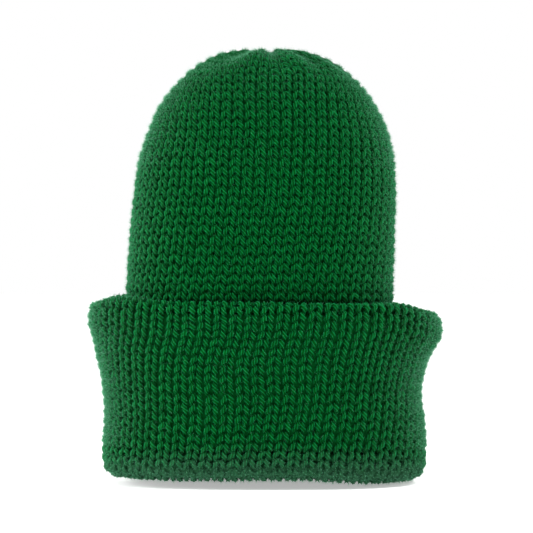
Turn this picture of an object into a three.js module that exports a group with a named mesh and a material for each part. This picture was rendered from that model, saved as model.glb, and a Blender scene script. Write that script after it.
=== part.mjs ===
// Double-layer knit beanie with a deep turned-up cuff, standing on its bottom roll.
// Millimetres, +Z up, origin at the middle of the footprint. The front faces -Y.
//
// One knitted tube makes both layers: it runs from the crown's gather down the outside, turns up as the inner
// face of the cuff, folds over at the cuff's top, comes down as the cuff's outer face, turns under as the bottom
// roll and goes up inside as the lining, to a second gather below the first.
import * as THREE from 'three';

// ---- Driving dimensions ----
const LAYER = 5; // thickness of one knitted layer
const GAP = 0.4; // clearance between neighbouring layers
const ROUNDNESS = 2.6; // exponent of the oval cross-section: 2 is an ellipse, more is squarer
const FACETS = 48; // facets round the hat

const BODY = { halfWidth: 83.3, halfDepth: 44, shoulder: 150, top: 268, domePower: 2.5 };
const CROWN_SPACE = 12; // room for the knot and yarn ends between the two crowns
const GATHER_RADIUS = 4.6; // hole left where the crown's stitches are drawn together
const GATHER_DEPTH = 3.5; // how far the gather sinks below the crown
const DOME_END = 1.46; // angle at which the dome's outline turns in to the gather, radians
const DOME_STEPS = 7;
const SHOULDER_SPLIT = 0.4; // clearance between a layer's wall and its crown

const CUFF_HEIGHT = 113;
const FOLD_HEIGHT = 14; // height of the rounded fold along the cuff's top
const BRIM_HEIGHT = 12; // height of the roll along the bottom
const BRIM_FLAT = 12; // width of the flat that the bottom roll rests on
const FOLD_STEPS = 6; // facets over the cuff's top fold

// The round of the bottom roll, from its side to its flat: shares of the rounding's width and of the roll's height.
const BRIM_ROUND = [
  { across: 0, up: 1 },
  { across: 0.1, up: 0.45 },
  { across: 0.4, up: 0.13 },
  { across: 1, up: 0 },
];

// The cuff's outer face, from its bottom to its top: half width, half depth, height and roundness.
// It is drawn in at the middle and flares towards the top, where its sides pinch to soft corners.
const CUFF_FACE = [
  { a: 100.8, b: 56.0, z: BRIM_HEIGHT, n: 2.6 },
  { a: 100.2, b: 55.8, z: 28, n: 2.6 },
  { a: 98.4, b: 55.5, z: 48, n: 2.55 },
  { a: 99.6, b: 55.6, z: 64, n: 2.45 },
  { a: 103.6, b: 56.0, z: 82, n: 2.35 },
  { a: 108.4, b: 56.6, z: CUFF_HEIGHT - FOLD_HEIGHT, n: 2.25 },
];

const YARN = 3.2; // diameter of the gathering yarn
const KNOT = { radius: 3.6, strand: 1.15, steps: 44, sides: 6 };
const TAIL = { start: 9, reach: 46, bends: 6, steps: 16, sides: 8 };
const RING = { steps: 20, sides: 8 };

const KNIT_GREEN = 0x0b6b37;
const YARN_GREEN = 0x0f7a42;

// ---- Helpers ----
const fabric = (color) => new THREE.MeshStandardMaterial({ color, roughness: 0.95, metalness: 0 });

const signedPower = (value, power) => Math.sign(value) * Math.abs(value) ** power;

// A horizontal oval ring of points, from a station's half width a, half depth b, height z and roundness n.
function ovalRing({ a, b, z, n = ROUNDNESS }) {
  return Array.from({ length: FACETS }, (_, i) => {
    const angle = (2 * Math.PI * i) / FACETS;
    const x = a * signedPower(Math.cos(angle), 2 / n);
    const y = b * signedPower(Math.sin(angle), 2 / n);
    return [x, y, z];
  });
}

// The same station moved inwards by a distance.
const inset = (station, distance) => ({ ...station, a: station.a - distance, b: station.b - distance });

// A closed wall that goes all the way round. Its stations run down the outside and back up the inside.
function wall(stations) {
  const positions = stations.map(ovalRing).flat(2);
  const index = [];
  stations.forEach((_, j) => {
    const next = (j + 1) % stations.length;
    for (let i = 0; i < FACETS; i += 1) {
      const side = (i + 1) % FACETS;
      const here = j * FACETS + i;
      const across = next * FACETS + side;
      index.push(here, next * FACETS + i, across);
      index.push(here, across, j * FACETS + side);
    }
  });
  const geometry = new THREE.BufferGeometry();
  geometry.setAttribute('position', new THREE.Float32BufferAttribute(positions, 3));
  geometry.setIndex(index);
  geometry.computeVertexNormals();
  return geometry;
}

function named(name, geometry, color) {
  const mesh = new THREE.Mesh(geometry, fabric(color));
  mesh.name = name;
  return mesh;
}

// ---- Crown and body ----

// Half width and half depth of the straight body at a depth inside the hat's outer surface.
const bodyOval = (depth) => inset({ a: BODY.halfWidth, b: BODY.halfDepth }, depth);

// Stations of one side of a crown, from its gather down to the shoulder.
function domeSide(depth, top) {
  const base = bodyOval(depth);
  const stations = [{ a: GATHER_RADIUS, b: GATHER_RADIUS, z: top - GATHER_DEPTH, n: 2 }];
  for (let k = DOME_STEPS; k >= 0; k -= 1) {
    const angle = (DOME_END * k) / DOME_STEPS;
    const across = Math.cos(angle) ** (2 / BODY.domePower);
    const up = Math.sin(angle) ** (2 / BODY.domePower);
    stations.push({ a: base.a * across, b: base.b * across, z: BODY.shoulder + (top - BODY.shoulder) * up });
  }
  return stations;
}

// The crown of one layer: its outer side at a depth inside the hat's surface, its top at a height.
function crown(name, depth, top) {
  const outside = domeSide(depth, top);
  const inside = domeSide(depth + LAYER, top - LAYER);
  return named(name, wall([...outside, ...inside.reverse()]), KNIT_GREEN);
}

// The straight wall of one layer, from under its crown down to the bottom roll.
function bodyWall(name, depth) {
  const high = BODY.shoulder - SHOULDER_SPLIT;
  const low = BRIM_HEIGHT + GAP;
  const outside = bodyOval(depth);
  const inside = bodyOval(depth + LAYER);
  const stations = [
    { ...outside, z: high },
    { ...outside, z: low },
    { ...inside, z: low },
    { ...inside, z: high },
  ];
  return named(name, wall(stations), KNIT_GREEN);
}

const liningDepth = LAYER + GAP;
const liningTop = BODY.top - LAYER - CROWN_SPACE;

// ---- Cuff ----

// One layer of the cuff's wall: its outer side at a depth behind the cuff's face.
function cuffLayer(depth) {
  const clear = (station, i) => (i === 0 ? { ...station, z: station.z + GAP } : station);
  const outside = CUFF_FACE.map(clear).map((station) => inset(station, depth));
  const inside = outside.map((station) => inset(station, LAYER));
  return wall([...outside.reverse(), ...inside]);
}

const cuffOuterLayer = () => named('cuff_outer_layer', cuffLayer(0), KNIT_GREEN);
const cuffInnerLayer = () => named('cuff_inner_layer', cuffLayer(LAYER + GAP), KNIT_GREEN);

// The fold along the cuff's top: a band as thick as both layers, with a round crest.
function cuffEdgeFold() {
  const base = CUFF_FACE.at(-1);
  const thickness = 2 * LAYER + GAP;
  const low = base.z + GAP;
  const round = thickness / 2;
  const centre = CUFF_HEIGHT - round;
  const crest = Array.from({ length: FOLD_STEPS + 1 }, (_, k) => {
    const angle = (Math.PI * k) / FOLD_STEPS;
    return { ...inset(base, round + round * Math.cos(angle)), z: centre + round * Math.sin(angle) };
  });
  const stations = [...crest, { ...base, z: low }, { ...inset(base, thickness), z: low }];
  return named('cuff_edge_fold', wall(stations), KNIT_GREEN);
}

// The roll along the bottom, four layers thick, where the cuff turns up. Its flat underside is the hat's foot.
function brimFold() {
  const base = CUFF_FACE[0];
  const thickness = 4 * LAYER + 3 * GAP;
  const round = (thickness - BRIM_FLAT) / 2;
  const corner = (across, up) => ({ ...inset(base, across), z: BRIM_HEIGHT * up });
  const outside = BRIM_ROUND.map(({ across, up }) => corner(round * across, up));
  const inside = BRIM_ROUND.map(({ across, up }) => corner(thickness - round * across, up));
  const stations = [...outside, ...inside.reverse()];
  return named('brim_fold', wall(stations), KNIT_GREEN);
}

// ---- Gathering yarns, their knot and their ends ----

// A ring of yarn drawn through the last stitches of a crown, sunk in its gather.
function gatherYarn(name, top) {
  const across = GATHER_RADIUS - YARN / 2 - GAP;
  const ring = new THREE.TorusGeometry(across, YARN / 2, RING.sides, RING.steps);
  ring.translate(0, 0, top - GATHER_DEPTH - YARN / 2);
  return named(name, ring, YARN_GREEN);
}

// Height halfway between the two crowns above a point on the hat's long axis.
function betweenCrowns(x) {
  const under = (halfWidth, top) => {
    const rise = (1 - (Math.abs(x) / halfWidth) ** BODY.domePower) ** (1 / BODY.domePower);
    return BODY.shoulder + (top - BODY.shoulder) * rise;
  };
  const shellInside = under(BODY.halfWidth - LAYER, BODY.top - LAYER);
  const liningOutside = under(BODY.halfWidth - liningDepth, liningTop);
  return (shellInside + liningOutside) / 2;
}

function gatherKnot() {
  const knot = new THREE.TorusKnotGeometry(KNOT.radius, KNOT.strand, KNOT.steps, KNOT.sides, 2, 3);
  knot.translate(0, 0, (BODY.top - LAYER - GATHER_DEPTH + liningTop) / 2);
  return named('gather_knot', knot, YARN_GREEN);
}

// A cut end of yarn that lies between the crowns, from the knot out to one side (+1 or -1).
function yarnTail(name, side) {
  const points = Array.from({ length: TAIL.bends + 1 }, (_, k) => {
    const x = side * THREE.MathUtils.lerp(TAIL.start, TAIL.reach, k / TAIL.bends);
    return new THREE.Vector3(x, 0, betweenCrowns(x));
  });
  const section = new THREE.Shape();
  section.absarc(0, 0, YARN / 2, 0, 2 * Math.PI);
  const tail = new THREE.ExtrudeGeometry(section, {
    steps: TAIL.steps,
    curveSegments: TAIL.sides,
    extrudePath: new THREE.CatmullRomCurve3(points),
  });
  return named(name, tail, YARN_GREEN);
}

// ---- The hat ----
const beanie = new THREE.Group();
beanie.add(
  crown('body_crown', 0, BODY.top),
  bodyWall('body_wall', 0),
  crown('lining_crown', liningDepth, liningTop),
  bodyWall('lining_wall', liningDepth),
  cuffOuterLayer(),
  cuffInnerLayer(),
  cuffEdgeFold(),
  brimFold(),
  gatherYarn('crown_gather_yarn', BODY.top),
  gatherYarn('lining_gather_yarn', liningTop),
  gatherKnot(),
  yarnTail('crown_yarn_tail', 1),
  yarnTail('lining_yarn_tail', -1),
);

export default beanie;
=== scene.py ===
"""A knit beanie whose every stitch is real: loops of plied yarn laid along the hat's folded fabric.

Metres, +Z up, the front faces -Y. One fabric surface runs in knitting order: from the crown's gather down the
body, up behind the cuff, over its top fold, down its face, under the bottom roll and up inside as the lining.
A place on it is (u, s): u goes once round the hat from the middle of its back, and s is the length knitted.
"""
import math

import bpy
import numpy as np
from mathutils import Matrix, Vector


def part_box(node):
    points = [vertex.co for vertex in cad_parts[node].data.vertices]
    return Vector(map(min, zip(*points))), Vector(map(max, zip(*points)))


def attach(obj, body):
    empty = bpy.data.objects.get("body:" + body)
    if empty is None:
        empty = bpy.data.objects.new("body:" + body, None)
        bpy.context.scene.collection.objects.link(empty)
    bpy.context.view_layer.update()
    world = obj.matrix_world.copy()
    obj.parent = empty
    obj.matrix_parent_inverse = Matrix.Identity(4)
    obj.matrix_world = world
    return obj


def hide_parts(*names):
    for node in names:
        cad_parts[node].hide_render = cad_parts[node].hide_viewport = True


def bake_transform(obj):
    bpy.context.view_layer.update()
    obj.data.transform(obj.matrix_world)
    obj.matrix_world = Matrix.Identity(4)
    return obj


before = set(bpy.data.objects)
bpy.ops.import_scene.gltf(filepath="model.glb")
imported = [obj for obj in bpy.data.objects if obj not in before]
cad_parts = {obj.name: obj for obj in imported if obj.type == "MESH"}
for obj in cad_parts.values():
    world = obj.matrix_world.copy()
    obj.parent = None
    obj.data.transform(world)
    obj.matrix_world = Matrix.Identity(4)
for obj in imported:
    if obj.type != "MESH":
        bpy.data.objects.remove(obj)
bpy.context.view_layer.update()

MM = 0.001

# ---- Driving dimensions: the hat's come from the frame, the yarn's are its own ----
CROWN_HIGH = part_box("body_crown")[1]
LINING_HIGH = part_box("lining_crown")[1]
EDGE_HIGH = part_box("cuff_edge_fold")[1]
BRIM_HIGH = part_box("brim_fold")[1]
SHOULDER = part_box("body_crown")[0].z
FOLD_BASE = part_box("cuff_edge_fold")[0].z

LAYER = 5.0 * MM  # thickness of one knitted layer
GAP = 0.4 * MM  # clearance between neighbouring layers
ROUNDNESS = 2.6  # exponent of the oval cross-section: 2 is an ellipse, more is squarer
ELLIPSE = 2.0

DOME_POWER = 2.6  # exponent of a crown's outline
DOME_END = 1.46  # angle at which the outline turns in to the gather, radians
DOME_STATIONS = 14
GATHER = 3.0 * MM  # radius at which a crown's stitches are drawn together
GATHER_DIP = 5.0 * MM  # depth of the gather below the crown's top
GATHER_RIM = 1.5 * MM  # depth of the rim round the gather

BODY_LOW = 14.5 * MM  # height at which the body turns into the cuff
CUFF_LOW = 14 * MM  # height at which the cuff and the lining meet the bottom roll
INNER_DROP = 6 * MM  # how far the fabric dips between the body and the cuff
FOLD_RISE = 3.4 * MM  # how far it rises over the cuff's top fold
ROLL_DROP = 9.3 * MM  # how far it dips under the bottom roll
STEP = 1.0 * MM  # spacing of the surface's rows
COLUMNS = 720  # places in each row, round the hat

WALES = 54  # columns of stitches round the hat
FRONT_WALE = 7.4 * MM  # width of a column on the middle of the body's front and back, crown included
CUFF_WALE = 9.6 * MM  # the same on the cuff
FULL_WALE = 6.6 * MM  # width of a column from which on the yarn has its full thickness
LEAST_SLIM = 0.40  # share of its thickness that the yarn keeps in the narrowest columns
LOOP_REACH = 0.98  # how far a loop reaches above and below its row, in row heights
STITCH_STEPS = 24  # rings of vertices along one stitch's yarn
LINING_STEPS = 12  # the same in the lining, which is seen only from below

YARN = 1.58 * MM  # radius of the yarn, to the crests of its plies
PLIES = 4
PLY_GROOVE = 0.60  # radius at the bottom of the grooves between plies, as a share of the yarn's
PLY_PITCH = 10.5 * MM  # length of yarn in which the plies turn once
# A ply's exposure is painted shade: the yarn's colour darkens towards its shaded green between the plies and
# where the yarn lies deep in the knit.
DEEP, OPEN = -1.8 * MM, 2.2 * MM  # heights in the fabric between which a ply's exposure rises
DEEP_EXPOSURE = 0.45  # of a ply down there; up there it is 1
ROOT_EXPOSURE = 0.85  # exposure above which fibre ends stand on a ply
FIBRE = 0.028 * MM  # radius of a fibre end where it leaves the yarn
FIBRE_LENGTH = 1.2 * MM  # median length of the fibre ends
FIBRE_LEAST, FIBRE_MOST = 0.5 * MM, 4 * MM  # limits of their lengths
FLOOR_CLEARANCE = 0.1 * MM  # height below which no fibre end reaches

CORE_DEPTH = 1.7 * MM  # of the matted bands behind the stitches, from the fabric's middle
CORE_THICKNESS = 0.6 * MM
CORE_STEP = 2 * MM  # spacing of a band's rows
CORE_COLUMNS = 180
CORE_EDGE = 6 * MM  # width over which a band's swell fades at its two edges
# painted shade of the bands behind the stitches: their exposure keeps them darker than the open yarn
CORE_EXPOSURE = 0.4

SIDE_SHEEN = 0.7  # how strongly the hat's sides and crown are painted paler and greyer: painted sheen where they turn away from the front
HEM_GREY = 1.1  # how much greyer its bottom edge is painted
HEM_LOW = 6 * MM  # height up to which the bottom edge is greyed and darkened in full; the darkening is painted shade
HEM_HIGH = 30 * MM  # height at which the bottom edge's greying ends
HEM_SHADE_HIGH = 18 * MM  # height at which the painted shade along the bottom edge ends
HEM_SHADE = 0.6  # how much of its exposure the yarn loses there, as painted shade


# ---- Small tools ----
def ease(start, end, x):
    """0 before start, 1 past end, and a smooth step between, whichever of the two is the higher."""
    t = np.clip((x - start) / (end - start), 0, 1)
    return t * t * (3 - 2 * t)


def ripples(u, s, seed, shortest, waves=4, count=8):
    """A smooth random field over the fabric, mostly within -1 to 1, with up to so many waves round."""
    draw = np.random.default_rng(seed)
    total = 0
    for _ in range(count):
        around = 2 * math.pi * (draw.integers(1, waves + 1) * u + draw.uniform())
        along = 2 * math.pi * (s / (shortest * draw.uniform(1, 4)) + draw.uniform())
        total = total + np.sin(around + np.sin(along)) * np.sin(along)
    return total / math.sqrt(count)


# ---- The fabric's path from gather to gather ----
def inset(station, distance):
    """The same station (half width, half depth, height, roundness) moved inwards."""
    a, b, z, n = station
    return (a - distance, b - distance, z, n)


def dome(depth, top):
    """Stations from a crown's gather down to the shoulder, at a depth inside the hat's outer surface."""
    gather = (GATHER, GATHER, top - GATHER_DIP, ELLIPSE)
    rim = (2.2 * GATHER, 1.8 * GATHER, top - GATHER_RIM, ELLIPSE)
    stations = [gather, rim]
    for angle in np.linspace(DOME_END, 0, DOME_STATIONS):
        across = math.cos(angle) ** (2 / DOME_POWER)
        up = math.sin(angle) ** (2 / DOME_POWER)
        a = (CROWN_HIGH.x - depth) * across
        b = (CROWN_HIGH.y - depth) * across
        stations.append((a, b, SHOULDER + (top - SHOULDER) * up, ROUNDNESS - 0.5 * angle / DOME_END))
    return stations


def turn(start, end, rise, count=9):
    """Stations of a half turn between two places at one height, up by a rise or down by a negative one."""
    stations = []
    for angle in np.linspace(0, math.pi, count):
        share = (1 - math.cos(angle)) / 2
        a, b, z, n = (p + (q - p) * share for p, q in zip(start, end, strict=True))
        stations.append((a, b, z + rise * math.sin(angle), n))
    return stations


def cuff_face():
    """The cuff's outer face from its bottom up: drawn in at the middle, flared at the top."""
    low, high = BRIM_HIGH.x, EDGE_HIGH.x
    deep, deeper = BRIM_HIGH.y, EDGE_HIGH.y
    return [
        (low, deep, CUFF_LOW, ROUNDNESS),
        (low - 0.4 * MM, deep - 0.1 * MM, 26 * MM, ROUNDNESS),
        (low - 2.2 * MM, deep - 0.5 * MM, 48 * MM, 2.55),
        (low - 1.2 * MM, deep - 0.4 * MM, 64 * MM, 2.45),
        (low + 2.8 * MM, deep, 82 * MM, 2.35),
        (high, deeper, FOLD_BASE, 2.25),
        (high - 0.5 * MM, deeper, FOLD_BASE + 8 * MM, 2.25),
    ]


def fabric_path():
    """Stations of the fabric's middle in knitting order, their distances, and where each stretch starts."""
    half = LAYER / 2
    spare = 0.6 * MM  # the stitches stand up this much more than half the layer's thickness
    tuck = half + spare
    face = cuff_face()
    body_side = (CROWN_HIGH.x - half + spare, CROWN_HIGH.y - tuck, 98 * MM, ROUNDNESS)
    body_foot = (CROWN_HIGH.x - tuck, CROWN_HIGH.y - tuck, BODY_LOW, ROUNDNESS)
    cuff_inside = [inset(p, LAYER + GAP + half) for p in face]
    cuff_outside = [inset(p, half) for p in face]
    lining_foot = (BRIM_HIGH.x - 3.6 * LAYER, BRIM_HIGH.y - 3.6 * LAYER, CUFF_LOW, ROUNDNESS)
    behind = 1.5 * LAYER + GAP  # from the hat's outer surface to the lining's middle
    lining_side = (CROWN_HIGH.x - behind, CROWN_HIGH.y - behind, 40 * MM, ROUNDNESS)
    stretches = {
        "body": dome(tuck, CROWN_HIGH.z - half + 2 * spare) + [body_side, body_foot],
        "cuff_back": turn(body_foot, cuff_inside[0], -INNER_DROP)[1:] + cuff_inside[1:],
        "cuff": turn(cuff_inside[-1], cuff_outside[-1], FOLD_RISE)[1:] + cuff_outside[-2::-1],
        "brim": turn(cuff_outside[0], lining_foot, -ROLL_DROP)[1:],
        "lining": [lining_side, *reversed(dome(behind, LINING_HIGH.z - half))],
    }
    points, starts = [], {}
    for name, stations in stretches.items():
        starts[name] = max(len(points) - 1, 0)
        points += stations
    points = np.array(points)
    across = np.linalg.norm(np.diff(points[:, :2], axis=0), axis=1) / math.sqrt(2)
    along = np.concatenate([[0], np.cumsum(np.hypot(across, np.diff(points[:, 2])))])
    return points, along, {name: along[k] for name, k in starts.items()}


POINTS, ALONG, START = fabric_path()
LENGTH = ALONG[-1]


def cuffness(s):
    """1 on the cuff, where the stitches are set wider, and 0 on the body and lining."""
    return ease(0, 0.02, s - START["cuff_back"]) * (1 - ease(0, 0.02, s - START["lining"]))


def smooth_rows(values, width):
    """Rounds the corners of a row-wise table with a moving average, keeping its two ends."""
    padded = np.concatenate([np.repeat(values[:1], width, 0), values, np.repeat(values[-1:], width, 0)])
    kernel = np.ones(width) / width
    return np.apply_along_axis(lambda column: np.convolve(column, kernel, "same"), 0, padded)[width:-width]


def surface():
    """The fabric as a grid of places and outward normals, rows along s and columns along u."""
    s = np.arange(0, LENGTH, STEP)
    rows = smooth_rows(np.stack([np.interp(s, ALONG, POINTS[:, k]) for k in range(4)], 1), 5)
    angle = np.linspace(-1.5 * math.pi, 0.5 * math.pi, 2 * COLUMNS + 1)
    u = np.linspace(0, 1, COLUMNS, endpoint=False)
    grid = np.empty((len(s), COLUMNS, 3))
    for k, (a, b, z, n) in enumerate(rows):
        x = -a * np.sign(np.cos(angle)) * np.abs(np.cos(angle)) ** (2 / n)
        y = b * np.sign(np.sin(angle)) * np.abs(np.sin(angle)) ** (2 / n)
        length = np.concatenate([[0], np.cumsum(np.hypot(np.diff(x), np.diff(y)))])
        wale = FRONT_WALE + (CUFF_WALE - FRONT_WALE) * cuffness(s[k])
        spread = np.clip(wale * WALES / length[-1] - 1, -0.1, 0.6)  # widens the front's and back's columns
        share = u + spread * np.sin(4 * math.pi * u) / (4 * math.pi)
        grid[k, :, 0] = np.interp(share * length[-1], length, x)
        grid[k, :, 1] = np.interp(share * length[-1], length, y)
        grid[k, :, 2] = z
    slump(grid, u[None, :], s[:, None])
    along_u = np.roll(grid, -1, 1) - np.roll(grid, 1, 1)
    normal = np.cross(along_u, np.gradient(grid, axis=0))
    normal /= np.linalg.norm(normal, axis=2, keepdims=True) + 1e-12
    return grid, normal


def slump(grid, u, s):
    """How the soft hat has settled: its body leans, its cuff's corners flare and droop, its crown is pleated,
    and it all wobbles a little."""
    x, y, z = (grid[..., k].copy() for k in range(3))
    side = x / EDGE_HIGH.x
    inner = (s < START["cuff_back"]) | (s > START["lining"])
    cuff = ~inner

    lean = np.clip(0.055 * (z - 0.174), -3.6 * MM, 2.2 * MM)
    grid[..., 0] += inner * ease(0.07, 0.11, z) * lean

    flare = 2.2 * MM * ease(0.5, 1, side) - 1.2 * MM * ease(0.5, 1, -side)
    grid[..., 0] += cuff * ease(0.085, 0.104, z) * flare
    waist = 1.5 * MM * ease(0.035, 0.062, z) * (1 - ease(0.08, 0.097, z))
    grid[..., 0] -= cuff * waist

    tips = 1.5 * MM * ease(0.92, 1.0, side) + 5.0 * MM * ease(0.83, 1.0, -side)
    tips -= 2.4 * MM * ease(0.5, 0.8, -side)
    droop = 1.0 * MM * side + 6.6 * MM * ease(0.72, 0.98, side) + tips
    grid[..., 2] -= cuff * ease(0.03, 0.11, z) * droop
    lift = ease(30 * MM, 10 * MM, z) * 2.2 * MM * (1 - ease(0.2, 0.6, side))
    grid[..., 2] += lift

    radius = np.hypot(x, y) + 1e-9
    wobble = 0.9 * MM * ripples(u, s, seed=3, shortest=40 * MM)
    grid[..., 0] += 0.5 * wobble * x / radius
    grid[..., 1] += wobble * y / radius

    from_gather = np.minimum(s, LENGTH - s)
    pleats = np.sin(2 * math.pi * (9 * u + 0.35 * np.sin(4 * math.pi * u + 1.0)) + 0.7)
    grid[..., 2] += 1.8 * MM * pleats * ease(0.060, 0.016, from_gather) * ease(0, 0.012, from_gather)


GRID, NORMALS = surface()


def wale_width():
    """Width of one column of stitches all over the fabric."""
    return (np.linalg.norm(np.roll(GRID, -1, 1) - GRID, axis=2) * COLUMNS / WALES)[..., None]


WALE_WIDTH = wale_width()


def on_fabric(table, u, s):
    """A table's value at places (u, s), between its grid's points."""
    column = (u % 1.0) * COLUMNS
    row = np.clip(s / STEP, 0, table.shape[0] - 1.001)
    c0, r0 = np.floor(column).astype(int), np.floor(row).astype(int)
    fc, fr = (column - c0)[..., None], (row - r0)[..., None]
    c0, c1 = c0 % COLUMNS, (c0 + 1) % COLUMNS
    upper = table[r0, c0] * (1 - fc) + table[r0, c1] * fc
    lower = table[r0 + 1, c0] * (1 - fc) + table[r0 + 1, c1] * fc
    return upper * (1 - fr) + lower * fr


# ---- Stitches ----
def course_height(s):
    """Height of one row of stitches at a distance along the fabric: smaller over the cuff's top fold."""
    height = 6.2 * MM - 0.35 * MM * ease(0.04, 0.12, s)
    fold = START["cuff"]
    return height - 0.65 * MM * ease(fold - 0.02, fold, s) * (1 - ease(fold + 0.03, fold + 0.06, s))


def course_places():
    """Distances of the middles of all the rows of stitches."""
    places, s = [], 4.5 * MM
    while s < LENGTH - 4.5 * MM:
        places.append(s)
        s += course_height(s)
    return places


def drift(u, s):
    """How far the columns wander sideways, in turns, and the rows along the fabric, in metres."""
    cuff_lean = 0.022 * (1 + 0.5 * np.sin(2 * math.pi * u))
    lean = 0.020 * ease(0.10, 0.23, s) + cuff_lean * np.clip((s - START["cuff"]) / 0.10, 0, 1.2)
    loose = 1 + cuffness(s)
    wander = 0.0013 * loose * ripples(u, s, seed=11, shortest=30 * MM, waves=5)
    bend = 0.7 * MM * loose * ripples(u, s, seed=12, shortest=50 * MM, waves=6)
    return lean + wander, bend


def yarn_path(s_course, course, steps):
    """The yarn's middle line for one row of stitches, closed round the hat. With it come the fabric's outward
    direction, the share of its full thickness that the yarn has there, and its height in the fabric."""
    draw = np.random.default_rng(1000 + course)
    t = np.arange(WALES * steps) / steps * 2 * math.pi

    def jitter(size):
        each = draw.normal(0, size, WALES)
        return np.interp(t / (2 * math.pi), np.arange(WALES + 1), np.append(each, each[0]))

    cuff = cuffness(s_course)
    crown = ease(0.01, 0.07, s_course) * (1 - ease(0.08, 0.17, s_course)) * (1 - cuff)
    upright = cuff * (1 - ease(0.03, 0.10, s_course - START["cuff"]))
    swing = 1.40 - 0.12 * cuff - 0.08 * crown - 0.14 * upright  # how far the loops bulge past their necks
    pinch = 0.10 + 0.02 * cuff + 0.22 * crown  # how far neighbouring stitches' legs are drawn together
    across = t + (swing + jitter(0.10)) * np.sin(2 * t) + (pinch + jitter(0.10)) * np.sin(t)
    rise = (LOOP_REACH - 0.09 * cuff + jitter(0.03)) * (np.cos(t) + 0.10 * np.cos(3 * t))
    u = across / (2 * math.pi * WALES)
    s = s_course - course_height(s_course) * rise + jitter(0.25 * MM)
    sideways, along = drift(u, s)
    u, s = u + sideways, np.clip(s + along * ease(0, 0.03, np.minimum(s, LENGTH - s)), 0, LENGTH - 2 * STEP)
    outward = on_fabric(NORMALS, u, s)
    outward /= np.linalg.norm(outward, axis=1, keepdims=True)
    slim = np.clip(on_fabric(WALE_WIDTH, u, s)[:, 0] / FULL_WALE, LEAST_SLIM, 1.0)
    dive = np.cos(2 * t)  # 1 where a loop passes behind the next row's, -1 in the middle of a leg
    flattened = 1 - 0.35 * outward[:, 0] ** 4
    height = (-0.6 * MM - 1.8 * MM * dive * flattened) * slim + jitter(0.15 * MM)
    return on_fabric(GRID, u, s) + outward * height[:, None], outward, slim * (0.82 - 0.31 * dive), height


def plied_tube(path, outward, slim, phase, closed=True):
    """Vertices of a tube whose section has one crest for each ply and turns as the plies do, and how far each
    stands out from the yarn's middle towards the fabric's outer side."""
    if closed:
        tangent = np.roll(path, -1, 0) - np.roll(path, 1, 0)
    else:
        tangent = np.gradient(path, axis=0)
    tangent /= np.linalg.norm(tangent, axis=1, keepdims=True)
    side = np.cross(tangent, outward)
    side /= np.linalg.norm(side, axis=1, keepdims=True)
    up = np.cross(side, tangent)
    length = np.concatenate([[0], np.cumsum(np.linalg.norm(np.diff(path, axis=0), axis=1))])
    total = length[-1] + np.linalg.norm(path[0] - path[-1])
    turns = round(total / PLY_PITCH)
    corner = np.arange(2 * PLIES)
    angle = math.pi * corner[None, :] / PLIES + 2 * math.pi * turns * (length / total)[:, None] + phase
    radius = YARN * slim[:, None] * np.where(corner % 2 == 0, 1.0, PLY_GROOVE)[None, :]
    sideways = side[:, None] * (np.cos(angle) * radius)[..., None]
    upwards = up[:, None] * (np.sin(angle) * radius)[..., None]
    ring = sideways + upwards
    return path[:, None] + ring, np.einsum("ijk,ik->ij", ring, outward)


def ring_faces(rings, sides, first=0, closed=True):
    """Quads between rings of vertices, the last joined to the first on a closed tube."""
    i = np.arange(rings if closed else rings - 1)[:, None]
    k = np.arange(sides)[None, :]
    j, m = (i + 1) % rings, (k + 1) % sides
    quads = np.stack([i * sides + k, i * sides + m, j * sides + m, j * sides + k], -1)
    return first + quads.reshape(-1, 4)


def mesh_object(name, vertices, faces, **shares):
    """A smooth-shaded object from arrays. shares are attributes that its material reads at each vertex:
    exposure is painted shade, how open to the light the yarn lies there, and the other share paints it paler
    and greyer: painted sheen on the sides and crown, greying towards the bottom edge."""
    mesh = bpy.data.meshes.new(name)
    mesh.vertices.add(len(vertices))
    mesh.vertices.foreach_set("co", vertices.astype(np.float32).ravel())
    mesh.loops.add(faces.size)
    mesh.loops.foreach_set("vertex_index", faces.astype(np.int32).ravel())
    mesh.polygons.add(len(faces))
    mesh.polygons.foreach_set("loop_start", (faces.shape[1] * np.arange(len(faces))).astype(np.int32))
    mesh.update(calc_edges=True)
    mesh.polygons.foreach_set("use_smooth", np.ones(len(faces), bool))
    for share, values in shares.items():
        attribute = mesh.attributes.new(share, "FLOAT", "POINT")
        attribute.data.foreach_set("value", values.astype(np.float32).ravel())
    piece = bpy.data.objects.new(name, mesh)
    bpy.context.scene.collection.objects.link(piece)
    return piece


def hem(places, high):
    """1 along the hat's bottom edge and 0 from a height up: there the yarn is painted greyer, and darker with
    painted shade.
    """
    return ease(high, HEM_LOW, places[..., 2])


def sheen_and_grey_share(places, outward, s):
    """How much paler and greyer the fabric is painted: most along its bottom edge, then on its sides and its
    crown, where it is painted sheen. The crest of the cuff's fold gets none where it lies against the body,
    in its shade."""
    by_body = 1 - ease(0.5, 0.9, np.abs(places[..., 0]) / EDGE_HIGH.x)
    fold_in_shade = by_body * ease(25 * MM, 15 * MM, np.abs(s - START["cuff"]))
    facing = np.clip(outward[..., 0] ** 2 + 0.7 * outward[..., 2] ** 2 * (1 - fold_in_shade), 0, 1)
    return np.maximum(SIDE_SHEEN * facing, HEM_GREY * hem(places, HEM_HIGH))


def hem_shade_kept(places):
    """The share of its exposure that the yarn keeps: less along the hat's bottom edge, where shade is
    painted.
    """
    return 1 - HEM_SHADE * hem(places, HEM_SHADE_HIGH)


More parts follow.
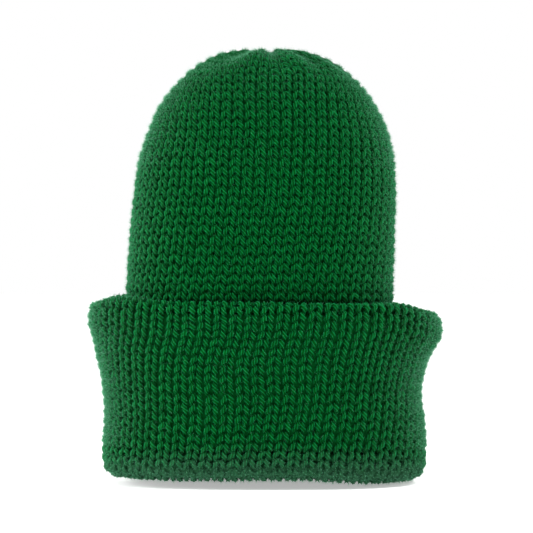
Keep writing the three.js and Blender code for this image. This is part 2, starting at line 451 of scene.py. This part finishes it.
def knit(name, courses, steps):
    """One piece of knitting, from the numbers and distances of its rows of stitches, and the places on its
    most open plies where fibre ends can stand, each with the fabric's outward direction and its painted sheen
    and greying."""
    vertices, faces, exposures, sheen_and_grey_shares, roots, first = [], [], [], [], [], 0
    ply = np.where(np.arange(2 * PLIES) % 2 == 0, 1.0, 0.0)[None, :]
    for course, s in courses:
        path, outward, slim, height = yarn_path(s, course, steps)
        tube, standing = plied_tube(path, outward, slim, phase=1.7 * course)
        vertices.append(tube.reshape(-1, 3))
        faces.append(ring_faces(len(path), 2 * PLIES, first))
        # Painted shade: exposure darkens the yarn's colour in the grooves between plies, where the yarn lies
        # deep in the knit, and towards the bottom edge.
        openness = ease(DEEP, OPEN, standing + height[:, None])
        exposure = (DEEP_EXPOSURE + (1 - DEEP_EXPOSURE) * openness) * ply
        open_to_air = exposure > ROOT_EXPOSURE
        exposures.append(exposure * hem_shade_kept(path)[:, None])
        sheen_and_grey_shares.append(np.broadcast_to(sheen_and_grey_share(path, outward, s)[:, None], exposure.shape))
        facing = np.broadcast_to(outward[:, None], tube.shape)
        roots.append(np.concatenate([tube, facing, sheen_and_grey_shares[-1][..., None]], 2)[open_to_air])
        first += tube.shape[0] * tube.shape[1]
    shares = {"exposure": np.concatenate(exposures), "sheen_and_grey": np.concatenate(sheen_and_grey_shares)}
    piece = mesh_object(name, np.concatenate(vertices), np.concatenate(faces), **shares)
    return piece, np.concatenate(roots)


def strand(name, path, width, outward, closed=True):
    """One length of plied yarn along a path, of a width relative to the knitting's, with closed cut ends."""
    slim = np.full(len(path), width)
    if not closed:
        slim[[0, -1]] *= 0.5  # rounds the ends
    tube, standing = plied_tube(path, outward, slim, 0.0, closed)
    sides = tube.shape[1]
    faces = ring_faces(len(path), sides, closed=closed)
    if not closed:
        end = np.array([(0, 1, 2, 3), (0, 3, 4, 7), (4, 5, 6, 7)])  # a four-ply end has eight corners
        faces = np.concatenate([faces, end[:, ::-1], end + (len(path) - 1) * sides])
    # Painted shade: the crests darken towards the yarn's inner side, and the grooves between plies get the
    # shaded green.
    exposure = np.where(np.arange(sides) % 2 == 0, ease(-2.5 * MM, 1.5 * MM, standing), 0)
    return mesh_object(name, tube.reshape(-1, 3), faces, exposure=exposure)


# ---- Between the layers, and on the surface ----
def core(name, start, end, swell):
    """A thin closed band of matted yarn behind the stitches, which stops light showing through them, darkened
    with painted shade. A swell brings it forward between them, all but its two edges."""
    s = np.linspace(start, end, int((end - start) / CORE_STEP))
    outer = CORE_DEPTH - swell * ease(0, CORE_EDGE, np.minimum(s - start, end - s))
    depth = np.concatenate([outer, outer[::-1] + CORE_THICKNESS])
    s = np.concatenate([s, s[::-1]])
    u = np.linspace(0, 1, CORE_COLUMNS, endpoint=False)
    u, s = np.meshgrid(u, s)
    outward = on_fabric(NORMALS, u, s)
    rings = on_fabric(GRID, u, s) - outward * depth[:, None, None]
    faces = ring_faces(rings.shape[0], rings.shape[1])
    shares = {"exposure": CORE_EXPOSURE * hem_shade_kept(rings), "sheen_and_grey": sheen_and_grey_share(rings, outward, s)}
    return mesh_object(name, rings.reshape(-1, 3), faces, **shares)


def fuzz(name, roots, count, seed):
    """Fine fibre ends standing off the yarn, each a slender three-sided spike. They are thickest where the
    yarn is painted paler and greyer, on the sides and crown with painted sheen and along the bottom edge, and
    none reaches down to the floor."""
    draw = np.random.default_rng(seed)
    likely = 0.01 + roots[:, 6] ** 2  # the least chance, and more where the yarn is painted paler
    chosen = roots[draw.choice(len(roots), count, p=likely / likely.sum())]
    root = chosen[:, :3] + draw.normal(0, 0.2 * MM, (count, 3))
    heading = 0.8 * chosen[:, 3:6] + 0.5 * draw.normal(size=(count, 3))
    heading /= np.linalg.norm(heading, axis=1, keepdims=True)
    length = draw.lognormal(math.log(FIBRE_LENGTH), 0.45, (count, 1))
    tip = root + heading * np.clip(length, FIBRE_LEAST, FIBRE_MOST)
    tip[:, 2] = np.maximum(tip[:, 2], FLOOR_CLEARANCE)
    side = np.cross(heading, draw.normal(size=(count, 3)))
    side /= np.linalg.norm(side, axis=1, keepdims=True)
    other = np.cross(heading, side)
    corners = [2 * math.pi * k / 3 for k in range(3)]
    base = [root + FIBRE * (math.cos(angle) * side + math.sin(angle) * other) for angle in corners]
    vertices = np.stack([*base, tip], 1).reshape(-1, 3)
    spike = np.array([(0, 2, 1), (0, 1, 3), (1, 2, 3), (2, 0, 3)])
    faces = (4 * np.arange(count)[:, None, None] + spike).reshape(-1, 3)
    return mesh_object(name, vertices, faces)


# ---- Materials ----
YARN_GREEN, YARN_SHADED = (0.005, 0.216, 0.060), (0.0, 0.048, 0.003)  # on the plies' crests; painted shade between them and deep in the knit
TIE_GREEN, TIE_SHADED = (0.005, 0.236, 0.070), (0.0, 0.048, 0.004)  # the same of the gathering yarns
SHEEN_AND_GREY_COLOUR = (0.045, 0.115, 0.078)  # pale grey green mixed in as painted sheen on the sides and crown, and as greying along the bottom edge
MOST_SHEEN_AND_GREY = 0.42  # how much of that colour the palest yarn gets
FIBRE_DARK, FIBRE_PALE = (0.03, 0.25, 0.10), (0.18, 0.48, 0.30)  # of the loose fibre ends


def new_material(name):
    material = bpy.data.materials.new(name)
    material.use_nodes = True
    return material, material.node_tree.nodes, material.node_tree.links


def set_inputs(node, values):
    for socket, value in values.items():
        node.inputs[socket].default_value = value


def add_node(nodes, kind, values=None, **settings):
    """A new node with its settings, and with the values of its input sockets."""
    node = nodes.new(kind)
    for setting, value in settings.items():
        setattr(node, setting, value)
    set_inputs(node, values or {})
    return node


def yarn_material(name, colour, shaded):
    """Matt plied yarn: darker between its plies and deep in the knit, with painted shade; mottled along its
    length, with fine fibres; and paler and greyer with painted sheen on the hat's sides and crown, and greyer
    towards its bottom edge."""
    material, nodes, links = new_material(name)
    shader = nodes["Principled BSDF"]
    set_inputs(shader, {"Roughness": 0.9, "Specular IOR Level": 0.015, "Sheen Weight": 0.045})
    set_inputs(shader, {"Sheen Roughness": 0.3, "Sheen Tint": (0.1, 1.0, 0.5, 1)})
    place = add_node(nodes, "ShaderNodeTexCoord")
    mottle = add_node(nodes, "ShaderNodeTexNoise", {"Scale": 240, "Detail": 3})
    fibre = add_node(nodes, "ShaderNodeTexNoise", {"Scale": 2400, "Detail": 2})
    # Painted shade: the exposure attribute mixes the colour down to the shaded green between plies and deep
    # in the knit.
    exposure = add_node(nodes, "ShaderNodeAttribute", attribute_name="exposure")
    crest = add_node(nodes, "ShaderNodeMath", {1: 2.0}, operation="POWER")
    depth = add_node(nodes, "ShaderNodeMix", {"A": (*shaded, 1), "B": (*colour, 1)}, data_type="RGBA")
    spread = {"From Min": 0.3, "From Max": 0.7, "To Min": 0.74, "To Max": 1.24}
    vary = add_node(nodes, "ShaderNodeMapRange", spread)
    shade = add_node(nodes, "ShaderNodeMix", {"Factor": 1}, data_type="RGBA", blend_type="MULTIPLY")
    # Painted sheen on the sides and crown, and greying at the bottom edge, from the second vertex attribute.
    sheen_and_grey = add_node(nodes, "ShaderNodeAttribute", attribute_name="sheen_and_grey")
    sheen_and_grey_amount = add_node(nodes, "ShaderNodeMath", {1: MOST_SHEEN_AND_GREY}, operation="MULTIPLY")
    sheen_and_grey_tint = add_node(nodes, "ShaderNodeMix", {"B": (*SHEEN_AND_GREY_COLOUR, 1)}, data_type="RGBA")
    bump = add_node(nodes, "ShaderNodeBump", {"Strength": 0.6, "Distance": 0.2 * MM})
    links.new(place.outputs["Object"], mottle.inputs["Vector"])
    links.new(place.outputs["Object"], fibre.inputs["Vector"])
    links.new(exposure.outputs["Fac"], crest.inputs[0])
    links.new(crest.outputs["Value"], depth.inputs["Factor"])
    links.new(mottle.outputs["Fac"], vary.inputs["Value"])
    links.new(depth.outputs["Result"], shade.inputs["A"])
    links.new(vary.outputs["Result"], shade.inputs["B"])
    links.new(sheen_and_grey.outputs["Fac"], sheen_and_grey_amount.inputs[0])
    links.new(sheen_and_grey_amount.outputs["Value"], sheen_and_grey_tint.inputs["Factor"])
    links.new(shade.outputs["Result"], sheen_and_grey_tint.inputs["A"])
    links.new(sheen_and_grey_tint.outputs["Result"], shader.inputs["Base Color"])
    links.new(fibre.outputs["Fac"], bump.inputs["Height"])
    links.new(bump.outputs["Normal"], shader.inputs["Normal"])
    return material


def fuzz_material():
    """Loose fibre ends: paler and greyer than the yarn, some more so, as light passes through them."""
    material, nodes, links = new_material("fibre_ends")
    shader = nodes["Principled BSDF"]
    set_inputs(shader, {"Roughness": 0.8, "Specular IOR Level": 0.1})
    place = add_node(nodes, "ShaderNodeTexCoord")
    patch = add_node(nodes, "ShaderNodeTexNoise", {"Scale": 900})
    ends = {"A": (*FIBRE_DARK, 1), "B": (*FIBRE_PALE, 1)}
    shade = add_node(nodes, "ShaderNodeMix", ends, data_type="RGBA")
    links.new(place.outputs["Object"], patch.inputs["Vector"])
    links.new(patch.outputs["Fac"], shade.inputs["Factor"])
    links.new(shade.outputs["Result"], shader.inputs["Base Color"])
    return material


KNIT = yarn_material("knit_green", YARN_GREEN, YARN_SHADED)
GATHER_GREEN = yarn_material("gather_green", TIE_GREEN, TIE_SHADED)
FUZZ = fuzz_material()


# ---- The hat ----
def dress(piece, material):
    """Gives a piece its material."""
    piece.data.materials.append(material)


def ride_with(piece, on_cuff):
    """A piece on the cuff has its placement baked into its mesh and is left unattached; any other piece is
    attached to the hat's body.
    """
    if on_cuff:
        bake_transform(piece)
    else:
        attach(piece, "hat_body")


# The bottom roll keeps a low lip on each side of the cuff, which stays when the cuff is unfolded.
INNER_LIP = START["cuff_back"] + 26 * MM
OUTER_LIP = START["brim"] - 8 * MM
CROWN_LENGTH = 0.105  # of the fabric in a crown, from its gather to its shoulder
ZONES = {  # name: start and end along the fabric, its slot, and the CAD nodes that it stands for
    "crown_knit": (0, CROWN_LENGTH, "knit_body", ["body_crown"]),
    "body_knit": (CROWN_LENGTH, INNER_LIP, "knit_body", ["body_wall"]),
    "cuff_back_knit": (INNER_LIP, START["cuff"], "knit_cuff", ["cuff_inner_layer"]),
    "cuff_face_knit": (START["cuff"], OUTER_LIP, "knit_cuff", ["cuff_outer_layer", "cuff_edge_fold"]),
    "brim_knit": (OUTER_LIP, START["lining"], "knit_cuff", ["brim_fold"]),
    "lining_knit": (START["lining"], LENGTH - CROWN_LENGTH, "knit_lining", ["lining_wall"]),
    "lining_crown_knit": (LENGTH - CROWN_LENGTH, LENGTH, "knit_lining", ["lining_crown"]),
}
ON_CUFF = ("cuff_back_knit", "cuff_face_knit")
CORES = (  # name, start and end along the fabric, swell, slot, and whether it is on the cuff
    ("body_core", 12 * MM, INNER_LIP - 2 * MM, 0.8 * MM, "knit_body", False),
    ("cuff_back_core", INNER_LIP + 4 * MM, START["cuff"] - 4 * MM, 0, "knit_cuff", True),
    ("cuff_face_core", START["cuff"] + 12 * MM, OUTER_LIP - 1 * MM, 0.8 * MM, "knit_cuff", True),
    ("outer_lip_core", OUTER_LIP + 1 * MM, START["brim"] - 2 * MM, 0.8 * MM, "knit_cuff", False),
    ("brim_core", START["brim"] - 1 * MM, START["lining"] - 1 * MM, 2.3 * MM, "knit_cuff", False),
)
MOST_FACES = 98_000  # of one piece of knitting
FIBRES = 30_000  # in one piece of fuzz
FUZZ_PIECES = {"crown_knit": 3, "body_knit": 4, "cuff_face_knit": 4, "brim_knit": 2, "cuff_back_knit": 1}


def build_knit():
    """All the knitting, each zone in pieces of a few rows, and the places for fibre ends in each zone."""
    places = list(enumerate(course_places()))
    firsts, roots = {}, {}
    for zone, (start, end, slot, _) in ZONES.items():
        courses = [(k, s) for k, s in places if start <= s < end]
        steps = LINING_STEPS if slot == "knit_lining" else STITCH_STEPS
        count = math.ceil(len(courses) * WALES * steps * 2 * PLIES / MOST_FACES)
        found = []
        for k, part in enumerate(np.array_split(np.arange(len(courses)), count)):
            piece, open_plies = knit(f"{zone}_{k + 1}", [courses[i] for i in part], steps)
            dress(piece, KNIT)
            ride_with(piece, zone in ON_CUFF)
            firsts.setdefault(zone, piece)
            found.append(open_plies)
        roots[zone] = np.concatenate(found)
    for zone, piece in firsts.items():
        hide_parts(*ZONES[zone][3])
    return roots


def build_cores():
    """The matted bands behind the stitches."""
    for name, start, end, swell, slot, on_cuff in CORES:
        piece = core(name, start, end, swell)
        dress(piece, KNIT)
        ride_with(piece, on_cuff)


def build_fuzz(roots):
    """The fibre ends of each zone, from the places where they can stand."""
    for zone, count in FUZZ_PIECES.items():
        for k in range(count):
            name = f"{zone.replace('knit', 'fuzz')}_{k + 1}"
            piece = fuzz(name, roots[zone], FIBRES, seed=100 * len(zone) + k)
            dress(piece, FUZZ)
            ride_with(piece, zone in ON_CUFF)


roots = build_knit()
build_cores()
build_fuzz(roots)


# ---- Gathering yarns, their knot and their ends ----
KNOT_RADIUS = 3.6 * MM
TAIL_RADIUS = 1.6 * MM
TAIL_SWAY = 0.9 * MM  # how far a tail wanders to either side
CAD_DOME_POWER = 2.5  # exponent of the CAD crowns' outlines, between which the tails lie
UP = (0.0, 0.0, 1.0)


def gather_ring(name, node, row):
    """The yarn drawn through a crown's last stitches, dipping between them."""
    low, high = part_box(node)
    radius = (high.x - low.x - (high.z - low.z)) / 2
    angle = np.linspace(0, 2 * math.pi, 48, endpoint=False)
    dip = 0.6 * MM * np.sin(4 * angle)
    path = np.stack([radius * np.cos(angle), radius * np.sin(angle), dip], 1) + GRID[row].mean(0)
    piece = strand(name, path, 0.95, np.tile(UP, (len(path), 1)))
    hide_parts(node)
    return piece


def gather_knot(name, node):
    """The overhand knot that ties the two gathering yarns between the crowns."""
    low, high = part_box(node)
    middle = np.array((low + high) / 2)
    angle = np.linspace(0, 2 * math.pi, 120, endpoint=False)
    around, weave = 2 * angle, 3 * angle  # a trefoil goes round twice while it weaves up and down three times
    wide = KNOT_RADIUS * (2 + np.cos(weave)) / 2
    path = np.stack([wide * np.cos(around), wide * np.sin(around), KNOT_RADIUS * np.sin(weave) / 2], 1)
    outward = path / np.linalg.norm(path, axis=1, keepdims=True)
    piece = strand(name, path + middle, 0.76, outward)
    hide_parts(node)
    return piece


def between_crowns(x):
    """Height halfway between the two crowns above a point on the hat's long axis."""
    def under(half_width, top):
        rise = (1 - (np.abs(x) / half_width) ** CAD_DOME_POWER) ** (1 / CAD_DOME_POWER)
        return SHOULDER + (top - SHOULDER) * rise
    shell_inside = under(CROWN_HIGH.x - LAYER, CROWN_HIGH.z - LAYER)
    lining_outside = under(CROWN_HIGH.x - LAYER - GAP, LINING_HIGH.z)
    return (shell_inside + lining_outside) / 2


def yarn_tail(name, node, shift):
    """A cut end of yarn that lies loosely between the two crowns, from the knot out to one side. A shift
    moves its bends along it."""
    low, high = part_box(node)
    side = 1 if high.x > -low.x else -1
    reach = np.linspace(0, 1, 60)
    near, far = sorted((abs(low.x), abs(high.x)))
    x = side * (near + TAIL_RADIUS + (far - near - 2 * TAIL_RADIUS) * reach)
    y = TAIL_SWAY * np.sin(2 * math.pi * (1.5 * reach + shift)) * ease(0, 0.3, reach)
    path = np.stack([x, y, between_crowns(x)], 1)
    piece = strand(name, path, 0.95, np.tile(UP, (len(path), 1)), closed=False)
    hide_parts(node)
    return piece


for piece in (
    gather_ring("crown_gather", "crown_gather_yarn", 2),
    gather_ring("lining_gather", "lining_gather_yarn", -3),
    gather_knot("knot", "gather_knot"),
    yarn_tail("crown_tail", "crown_yarn_tail", shift=0.2),
    yarn_tail("lining_tail", "lining_yarn_tail", shift=0.4),
):
    dress(piece, GATHER_GREEN)
    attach(piece, "hat_body")


# ---- Floor, light and camera ----
def stage():
    """A wide white floor, lit a little from within so that it stays as white as the light around it."""
    reach = 9.0
    corners = [(-reach, -reach, 0), (reach, -reach, 0), (reach, reach, 0), (-reach, reach, 0)]
    floor = mesh_object("floor", np.array(corners), np.array([(0, 1, 2, 3)]))
    material, nodes, _ = new_material("floor_white")
    shader = nodes["Principled BSDF"]
    set_inputs(shader, {"Base Color": (0.93, 0.93, 0.93, 1), "Roughness": 0.9})
    set_inputs(shader, {"Emission Color": (1, 1, 1, 1), "Emission Strength": 0.42})
    floor.data.materials.append(material)


def studio():
    """White all round, brighter overhead and dim in front, so that the light rakes in from the sides."""
    world = bpy.data.worlds.new("studio")
    world.use_nodes = True
    nodes, links = world.node_tree.nodes, world.node_tree.links
    direction = add_node(nodes, "ShaderNodeTexCoord")
    split = add_node(nodes, "ShaderNodeSeparateXYZ")
    brighten = {"From Min": 0.3, "From Max": 0.9, "To Min": 1.0, "To Max": 1.45}
    overhead = add_node(nodes, "ShaderNodeMapRange", brighten)
    dim = {"From Min": 0.1, "From Max": 0.9, "To Min": 1.0, "To Max": 0.25}
    front = add_node(nodes, "ShaderNodeMapRange", dim)
    forwards = add_node(nodes, "ShaderNodeMath", {1: -1}, operation="MULTIPLY")
    both = add_node(nodes, "ShaderNodeMath", operation="MULTIPLY")
    links.new(direction.outputs["Generated"], split.inputs["Vector"])
    links.new(split.outputs["Z"], overhead.inputs["Value"])
    links.new(split.outputs["Y"], forwards.inputs[0])
    links.new(forwards.outputs["Value"], front.inputs["Value"])
    links.new(overhead.outputs["Result"], both.inputs[0])
    links.new(front.outputs["Result"], both.inputs[1])
    links.new(both.outputs["Value"], nodes["Background"].inputs["Color"])
    bpy.context.scene.world = world


def area_light(name, place, size, power):
    """A square soft light aimed at the hat's middle, which no camera sees."""
    data = bpy.data.lights.new(name, "AREA")
    data.size = size
    data.energy = power
    lamp = bpy.data.objects.new(name, data)
    lamp.location = place
    lamp.visible_camera = False
    aim = Vector((0, 0, CROWN_HIGH.z / 2)) - lamp.location
    lamp.rotation_euler = aim.to_track_quat("-Z", "Y").to_euler()
    bpy.context.scene.collection.objects.link(lamp)


def camera():
    """A long lens level with the hat's middle, straight in front."""
    data = bpy.data.cameras.new("camera")
    data.lens = 150
    data.sensor_width = 36
    cam = bpy.data.objects.new("camera", data)
    frame_width = 330.5 * MM  # at the hat's middle
    distance = frame_width * data.lens / data.sensor_width
    cam.location = (1.2 * MM, -distance, CROWN_HIGH.z / 2)
    cam.rotation_euler = (math.pi / 2, 0, 0)
    bpy.context.scene.collection.objects.link(cam)
    bpy.context.scene.camera = cam


stage()
studio()
area_light("key", (1.5, -1.1, 2.2), 1.0, 50)
area_light("left", (-2.4, -0.3, 0.8), 1.2, 80)
area_light("right", (2.4, 0.2, 0.6), 1.2, 14)
camera()
bpy.context.scene.view_settings.view_transform = "Standard"
